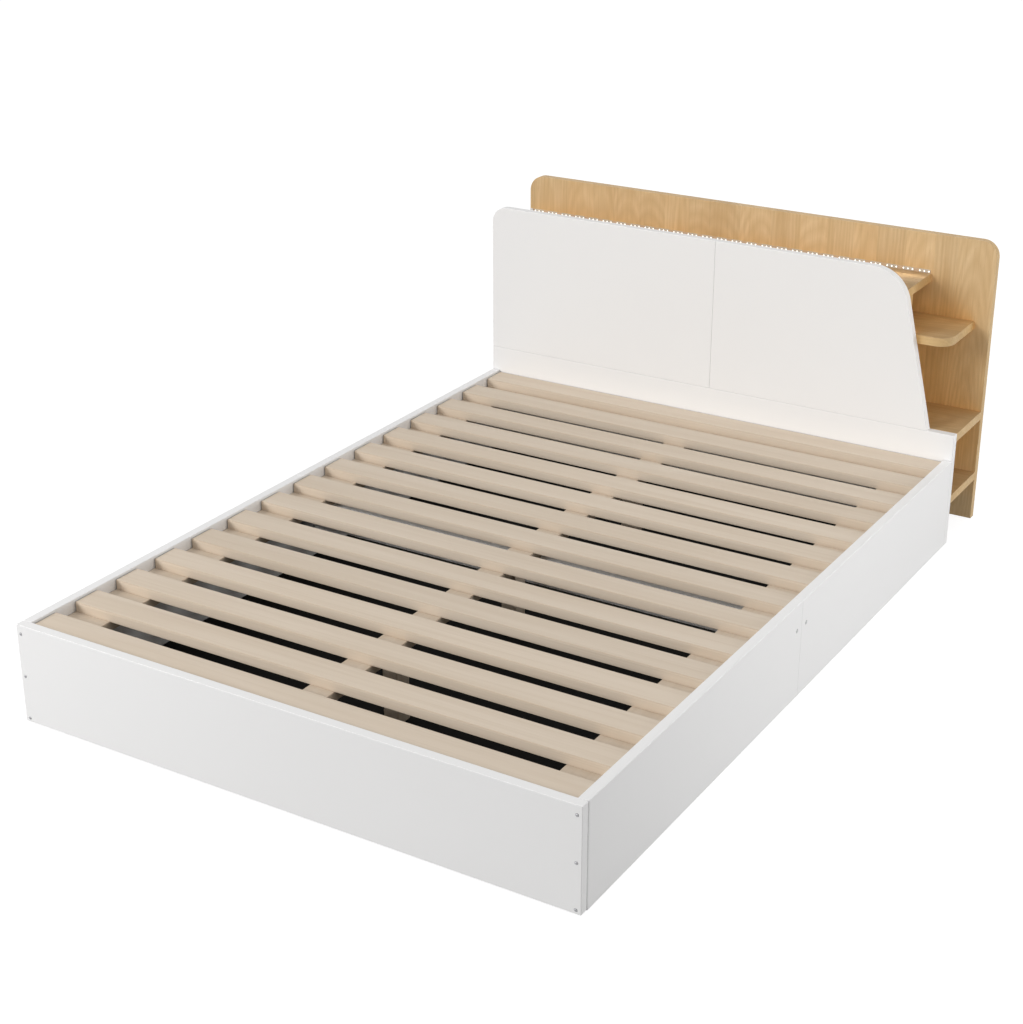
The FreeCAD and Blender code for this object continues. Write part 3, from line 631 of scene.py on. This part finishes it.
def slat_pattern():
    """One slat on its seat: planed square, rounded above and eased below, with a tone of its own."""
    form = Pattern("slat", ("Length", "Width", "Thickness", "Edge radius", "Under radius"), ("Seed",))
    given = form.given
    sides = {"Width": given["Width"], "Height": given["Thickness"]}
    outline = form.add("GeometryNodeCurvePrimitiveQuadrilateral", sides)
    place = form.add("GeometryNodeInputPosition", {}).outputs[0]
    upper = form.maths("LESS_THAN", form.parts(place)["Y"])
    extra = form.maths("SUBTRACT", given["Edge radius"], given["Under radius"])
    radius = form.maths("ADD", given["Under radius"], form.maths("MULTIPLY", upper, extra))
    corners = {"Curve": outline.outputs[0], "Radius": radius}
    rounded = form.add("GeometryNodeFilletCurve", corners, mode="POLY")
    rounded.inputs["Count"].default_value = SLAT_EDGE_STEPS
    half = form.half(given["Length"])
    ends = {"Start": form.corner(form.minus(half)), "End": form.corner(half)}
    line = form.add("GeometryNodeCurvePrimitiveLine", ends).outputs[0]
    swept = {"Curve": line, "Profile Curve": rounded.outputs[0], "Fill Caps": True}
    slat = form.add("GeometryNodeCurveToMesh", swept).outputs[0]
    tone = form.add("FunctionNodeRandomValue", {"Seed": given["Seed"]}, data_type="FLOAT")
    value = next(socket for socket in tone.outputs if socket.enabled)
    marked = {"Geometry": given["Seats"], "Name": SLAT_TONE, "Value": value}
    seats = form.add("GeometryNodeStoreNamedAttribute", marked, data_type="FLOAT", domain="POINT")
    return form.done([form.on_seats(slat, seats.outputs[0])])


def lamp_housing_pattern():
    """Square lamp housings with a round cup in the face of each."""
    form = Pattern("lamp_housing", ("Width", "Rise", "Cup radius", "Cup depth"))
    given = form.given
    block = form.solid("Cube", {"Size": form.corner(given["Width"], given["Rise"], given["Width"])})
    height = form.double(given["Cup depth"])
    cup = form.solid("Cylinder", {"Vertices": LAMP_SIDES, "Radius": given["Cup radius"], "Depth": height})
    front = form.corner(y=form.minus(form.half(given["Rise"])))
    facing = form.moved(cup, rotation=(QUARTER_TURN, 0, 0), translation=front)
    return form.done([form.on_seats(form.cut(block, [facing]))])


def lamp_lens_pattern():
    """Round lenses, each a low dome standing in the cup of its lamp."""
    form = Pattern("lamp_lens", ("Rise", "Cup depth", "Lens radius", "Lens rise"))
    given = form.given
    sides = {"Segments": LAMP_SIDES, "Rings": LAMP_DOME_RINGS}
    ball = form.solid("UVSphere", {**sides, "Radius": given["Lens radius"]})
    flatness = form.maths("DIVIDE", given["Lens rise"], given["Lens radius"])
    cup_floor = form.maths("SUBTRACT", form.half(given["Rise"]), given["Cup depth"])
    back = form.corner(y=form.minus(cup_floor))
    dome = form.moved(ball, scale=form.corner(1.0, 1.0, flatness))
    return form.done([form.on_seats(form.moved(dome, rotation=(QUARTER_TURN, 0, 0), translation=back))])


def separate_solids(node):
    """The corner points of each separate solid of a node."""
    shape = bmesh.new()
    shape.from_mesh(NODES[node].data)
    bmesh.ops.remove_doubles(shape, verts=shape.verts, dist=WELD_DISTANCE)
    waiting = set(shape.verts)
    solids = []
    for first in shape.verts:
        if first not in waiting:
            continue
        waiting.remove(first)
        reached = [first]
        for corner in reached:
            for edge in corner.link_edges:
                other = edge.other_vert(corner)
                if other in waiting:
                    waiting.remove(other)
                    reached.append(other)
        solids.append([corner.co.copy() for corner in reached])
    shape.free()
    return solids


def box_of(corners):
    """The lowest and highest corner of the box round some points."""
    lowest = Vector([min(corner[axis] for corner in corners) for axis in range(3)])
    highest = Vector([max(corner[axis] for corner in corners) for axis in range(3)])
    return lowest, highest


def middle_of(lowest, highest):
    return (lowest + highest) / 2


def longest_axis(sizes):
    """The number of the axis along which something is longest."""
    return max(range(3), key=lambda axis: sizes[axis])


def fastener_seat(corners):
    """The middle of a fastener's head face, the way it points from there, and its length."""
    lowest, highest = box_of(corners)
    middle = middle_of(lowest, highest)
    sizes = highest - lowest
    axis = longest_axis(sizes)

    def width_at(end):
        """How far the fastener's end face reaches out."""
        face = [corner for corner in corners if abs(corner[axis] - end[axis]) < WELD_DISTANCE]
        return max((corner - middle).length for corner in face)

    head, tip = (lowest, highest) if width_at(lowest) > width_at(highest) else (highest, lowest)
    place = middle.copy()
    place[axis] = head[axis]
    inward = Vector((0, 0, 0))
    inward[axis] = math.copysign(1, tip[axis] - head[axis])
    return {"place": place, INWARD: inward, LENGTH: sizes[axis]}


def grow(name, tree, seats, sizes, finish):
    """Set a pattern on its seats and keep what it makes as a plain mesh."""
    points = bpy.data.meshes.new(name + "_seats")
    points.from_pydata([seat["place"] for seat in seats], [], [])
    if INWARD in seats[0]:
        ways = points.attributes.new(INWARD, "FLOAT_VECTOR", "POINT")
        ways.data.foreach_set("vector", [part for seat in seats for part in seat[INWARD]])
        lengths = points.attributes.new(LENGTH, "FLOAT", "POINT")
        lengths.data.foreach_set("value", [seat[LENGTH] for seat in seats])
    piece = bpy.data.objects.new(name, points)
    bpy.context.scene.collection.objects.link(piece)
    modifier = piece.modifiers.new(name, "NODES")
    modifier.node_group = tree
    given = {**sizes, "Finish": finish}
    for item in tree.interface.items_tree:
        if item.name in given:
            modifier[item.identifier] = given[item.name]
    evaluated = piece.evaluated_get(bpy.context.evaluated_depsgraph_get())
    made = bpy.data.meshes.new_from_object(evaluated)
    if made.materials[0] is None:
        made.materials.pop(index=0)
    piece.modifiers.remove(modifier)
    piece.data = made
    return piece


def attach(piece, body, slot, *nodes):
    """Let a piece move with a body, and put it in the place of plainer solids. The slot it is given is not
    used.
    """
    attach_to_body(piece, body)
    if nodes:
        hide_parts(*nodes)


def make_fasteners(finishes):
    """Every screw and bolt, where its solid is."""
    screw = fastener_pattern("cross_head_screw", SCREW_SIZES, cross_recess)
    bolt = fastener_pattern("socket_bolt", BOLT_SIZES, socket_recess)
    kinds = {
        "rail_end_screws": (screw, SCREW_SIZES, "screw_steel"),
        "support_screws": (screw, SUNK_SCREW_SIZES, "screw_steel"),
        "shelf_screws": (screw, SCREW_SIZES, "screw_steel"),
        "rail_joint_bolts": (bolt, BOLT_SIZES, "bolt_cap"),
    }
    for node, (tree, sizes, finish) in kinds.items():
        seats = [fastener_seat(corners) for corners in separate_solids(node)]
        piece = grow(node + "_shaped", tree, seats, sizes, finishes[finish])
        attach(piece, BED_BODY, "screw_steel", node)


def make_slats(finish):
    """Fifteen loose slats, each on its own body."""
    tree = slat_pattern()
    slats = sorted(node for node in NODES if node.startswith("slat_"))
    for number, node in enumerate(slats):
        lowest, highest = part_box(node)
        length, width, thickness = highest - lowest
        sizes = {"Length": length, "Width": width, "Thickness": thickness, "Seed": SLAT_SEED + number,
                 "Edge radius": SLAT_EDGE_RADIUS, "Under radius": SLAT_UNDER_RADIUS}
        piece = grow(node + "_planed", tree, [{"place": middle_of(lowest, highest)}], sizes, finish)
        attach(piece, node, "pale_wood", node)


def make_lamps(finishes):
    """The strip's lamps: a row of housings, and a row of lit lenses in them."""
    boxes = [box_of(corners) for corners in separate_solids("strip_lamps")]
    seats = [{"place": middle_of(*box)} for box in boxes]
    lowest, highest = boxes[0]
    sizes = {"Width": highest.x - lowest.x, "Rise": highest.y - lowest.y, **LAMP_SIZES}
    housings = grow("lamp_housings", lamp_housing_pattern(), seats, sizes, finishes["lamp_housing"])
    lenses = grow("lamp_lenses", lamp_lens_pattern(), seats, sizes, finishes["lamp_lens"])
    attach(housings, BED_BODY, "strip_lamp", "strip_lamps")
    attach(lenses, BED_BODY, "strip_lamp")


def add_block(shape, lowest, highest):
    """Add a block to a shape and give back its edges."""
    corners = bmesh.ops.create_cube(shape, size=1)["verts"]
    middle = middle_of(lowest, highest)
    sizes = highest - lowest
    for corner in corners:
        corner.co = middle + Vector([part * size for part, size in zip(corner.co, sizes)])
    return list({edge for corner in corners for edge in corner.link_edges})


def make_feed_clip(finish):
    """The clip that feeds the strip: a small rounded housing with grip ribs across its face."""
    lowest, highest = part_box("strip_feed")
    shape = bmesh.new()
    body_front = Vector((lowest.x, lowest.y + CLIP_RIB_RISE, lowest.z))
    edges = add_block(shape, body_front, highest)
    bmesh.ops.bevel(shape, geom=edges, offset=CLIP_BEVEL, segments=CLIP_BEVEL_STEPS,
                    profile=CLIP_BEVEL_PROFILE, affect="EDGES")
    pitch = (highest.z - lowest.z) / (CLIP_RIBS + 1)
    rib = pitch * CLIP_RIB_SHARE
    for number in range(CLIP_RIBS):
        middle = lowest.z + pitch * (number + 1)
        low = Vector((lowest.x + CLIP_BEVEL, lowest.y, middle - rib / 2))
        high = Vector((highest.x - CLIP_BEVEL, highest.y - CLIP_BEVEL, middle + rib / 2))
        add_block(shape, low, high)
    mesh = bpy.data.meshes.new("feed_clip")
    shape.to_mesh(mesh)
    shape.free()
    mesh.materials.append(finish)
    clip = bpy.data.objects.new("feed_clip", mesh)
    bpy.context.scene.collection.objects.link(clip)
    attach(clip, BED_BODY, "feed_plastic", "strip_feed")


def make_finishes():
    """Every finish of the bed, by name."""
    finishes = {name: mottled(name) for name in MOTTLED}
    finishes.update({
        "white_board": white_board(),
        "oak_upright": oak("oak_upright", "Z"),
        "oak_level": oak("oak_level", "X"),
        "pale_along_x": pale_wood("pale_along_x", "X"),
        "pale_along_y": pale_wood("pale_along_y", "Y"),
        "pale_along_z": pale_wood("pale_along_z", "Z"),
        "strip_base": strip_base(),
        "lamp_lens": lamp_lens(),
    })
    return finishes


def wood_direction(node):
    """The axis that a wooden board is longest along, which its fibres follow."""
    lowest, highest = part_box(node)
    return "xyz"[longest_axis(highest - lowest)]


def dress(finishes):
    """Give every solid its finish."""
    for entry in frame["record"]["subparts"]:
        node, finish = entry["node"], entry["material_slot"]
        if finish == "oak_board":
            finish = "oak_level" if node.startswith("shelf_") else "oak_upright"
        if finish == "pale_wood":
            finish = "pale_along_" + wood_direction(node)
        if finish == "strip_lamp":
            finish = "lamp_lens"
        NODES[node].data.materials.clear()
        NODES[node].data.materials.append(finishes[finish])


def make_floor():
    """A pale floor that reads as white where it is seen and still takes the bed's shadow."""
    look = Finish("floor")
    plain = look.add("ShaderNodeBsdfDiffuse", {"Color": FLOOR_COLOUR}).outputs[0]
    glow = look.add("ShaderNodeEmission", {"Color": WHITE, "Strength": FLOOR_GLOW}).outputs[0]
    shown = look.add("ShaderNodeAddShader", {0: plain, 1: glow}).outputs[0]
    mixed = look.add("ShaderNodeMixShader", {0: look.seen(), 1: plain, 2: shown}).outputs[0]
    look.add("ShaderNodeOutputMaterial", {"Surface": mixed})
    bpy.ops.mesh.primitive_plane_add(size=FLOOR_SIZE, location=(0, 0, -FLOOR_DROP))
    floor = bpy.context.object
    floor.name = "floor"
    floor.data.materials.append(look.material)


def make_sky():
    """Even light from all round, white where it is seen."""
    world = bpy.data.worlds.new("sky")
    world.use_nodes = True
    bpy.context.scene.world = world
    sky = Tree(world.node_tree)
    sky.tree.nodes.clear()
    light = sky.add("ShaderNodeBackground", {"Color": WHITE, "Strength": SKY_STRENGTH}).outputs[0]
    shown = sky.add("ShaderNodeBackground", {"Color": WHITE}).outputs[0]
    mixed = sky.add("ShaderNodeMixShader", {0: sky.seen(), 1: light, 2: shown}).outputs[0]
    sky.add("ShaderNodeOutputWorld", {"Surface": mixed})


def add_light(name, kind, facing):
    """A new light, turned to shine one way."""
    data = bpy.data.lights.new(name, kind)
    light = bpy.data.objects.new(name, data)
    light.rotation_euler = Vector(facing).to_track_quat("-Z", "Y").to_euler()
    bpy.context.scene.collection.objects.link(light)
    return light


def make_lights():
    """A window at the foot end, and soft square lamps round the bed."""
    window = add_light("window", "SUN", -Vector(WINDOW_TOWARD))
    window.data.angle = math.radians(WINDOW_SPREAD_DEGREES)
    window.data.energy = WINDOW_STRENGTH
    for name, (place, target, width, watts) in SOFT_LAMPS.items():
        lamp = add_light(name, "AREA", Vector(target) - Vector(place))
        lamp.location = place
        lamp.data.size = width
        lamp.data.energy = watts
        lamp.visible_camera = False


def make_strip_light():
    """The light that the strip's lamps throw on the shelf they stand on."""
    lowest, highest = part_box("strip_lamps")
    light = add_light("strip_light", "AREA", STRIP_LIGHT_FACING)
    light.location = middle_of(lowest, highest)
    light.location.y = lowest.y - STRIP_LIGHT_CLEAR
    light.location.z = highest.z + STRIP_LIGHT_RISE
    light.data.shape = "RECTANGLE"
    light.data.size = highest.x - lowest.x
    light.data.size_y = highest.z - lowest.z
    light.data.spread = math.radians(STRIP_LIGHT_BEAM_DEGREES)
    light.data.color = STRIP_LIGHT_COLOUR
    light.data.energy = STRIP_LIGHT_WATTS
    light.visible_camera = False


def make_camera():
    """The eye, where the bed is seen from its foot end and right side."""
    data = bpy.data.cameras.new("camera")
    data.sensor_width = CAMERA_SENSOR_MM
    data.lens = CAMERA_LENS_MM
    data.clip_end = FLOOR_SIZE
    camera = bpy.data.objects.new("camera", data)
    camera.location = CAMERA_PLACE
    camera.rotation_euler = Euler([math.radians(angle) for angle in CAMERA_TILT_DEGREES])
    bpy.context.scene.collection.objects.link(camera)
    bpy.context.scene.camera = camera


finishes = make_finishes()
dress(finishes)
make_slats(finishes["pale_along_x"])
make_fasteners(finishes)
make_lamps(finishes)
make_feed_clip(finishes["feed_plastic"])
make_floor()
make_sky()
make_lights()
make_strip_light()
make_camera()
bpy.context.scene.view_settings.view_transform = "Standard"
